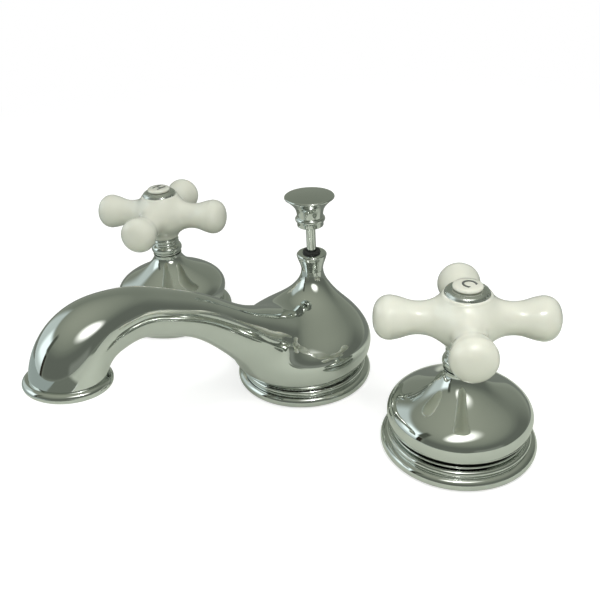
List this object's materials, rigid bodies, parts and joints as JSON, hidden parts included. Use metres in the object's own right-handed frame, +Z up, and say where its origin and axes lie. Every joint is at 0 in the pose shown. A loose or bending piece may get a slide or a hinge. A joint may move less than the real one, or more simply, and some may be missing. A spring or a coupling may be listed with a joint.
{
  "type": "widespread basin faucet",
  "caption": "Deck-mounted basin faucet with a teapot-shaped chrome spout, a lift rod, and bell-shaped bases that carry white porcelain cross handles.",
  "frame": {"origin": "on the deck surface, in the middle of the base flange under the spout", "axes": "+Z up, -Y toward the user (the way the spout points), +X from the hot valve to the cold valve"},
  "size_m": [0.275, 0.1863, 0.2182],
  "materials": {
    "chrome_body": "polished",
    "chrome_trim": "polished",
    "porcelain": "glossy glaze",
    "brass_fittings": "machined",
    "rubber_seals": "matte",
    "steel_washers": "stainless, plain",
    "ceramic_discs": "lapped",
    "cartridge_plastic": "moulded"
  },
  "bodies": {
    "base": {"spout_body": "chrome_body", "spout_base_flange": "chrome_trim", "spout_gasket": "rubber_seals", "spout_shank": "brass_fittings", "spout_o_ring": "rubber_seals", "spout_rubber_washer": "rubber_seals", "spout_steel_washer": "steel_washers", "spout_lock_nut": "brass_fittings", "spout_tee": "brass_fittings", "aerator_housing": "chrome_trim", "aerator_screen": "steel_washers", "aerator_washer": "rubber_seals", "rod_bushing": "rubber_seals", "hot_base_flange": "chrome_trim", "hot_gasket": "rubber_seals", "hot_bell": "chrome_trim", "hot_valve_body": "brass_fittings", "hot_cartridge": "cartridge_plastic", "hot_fixed_disc": "ceramic_discs", "hot_bonnet_nut": "brass_fittings", "hot_rubber_washer": "rubber_seals", "hot_steel_washer": "steel_washers", "hot_lock_nut": "brass_fittings", "cold_base_flange": "chrome_trim", "cold_gasket": "rubber_seals", "cold_bell": "chrome_trim", "cold_valve_body": "brass_fittings", "cold_cartridge": "cartridge_plastic", "cold_fixed_disc": "ceramic_discs", "cold_bonnet_nut": "brass_fittings", "cold_rubber_washer": "rubber_seals", "cold_steel_washer": "steel_washers", "cold_lock_nut": "brass_fittings"},
    "hot_handle": {"hot_rotary_disc": "ceramic_discs", "hot_stem": "brass_fittings", "hot_ferrule": "chrome_trim", "hot_cross": "porcelain", "hot_screw": "steel_washers", "hot_index_ring": "chrome_trim", "hot_index_button": "porcelain"},
    "cold_handle": {"cold_rotary_disc": "ceramic_discs", "cold_stem": "brass_fittings", "cold_ferrule": "chrome_trim", "cold_cross": "porcelain", "cold_screw": "steel_washers", "cold_index_ring": "chrome_trim", "cold_index_button": "porcelain"},
    "lift": {"lift_rod": "chrome_trim", "lift_knob": "chrome_trim"}
  },
  "joints": [
    {"name": "hot_handle_turn", "type": "hinge", "parent": "base", "child": "hot_handle", "pos_m": [-0.1085, 0, 0.0515], "axis": [0, 0, 1], "range_deg": [0, 90]},
    {"name": "cold_handle_turn", "type": "hinge", "parent": "base", "child": "cold_handle", "pos_m": [0.0947, 0, 0.0515], "axis": [0, 0, 1], "range_deg": [-90, 0]},
    {"name": "lift_rod_slide", "type": "slide", "parent": "base", "child": "lift", "axis": [0, 0, 1], "range_m": [-0.01, 0.025]}
  ]
}
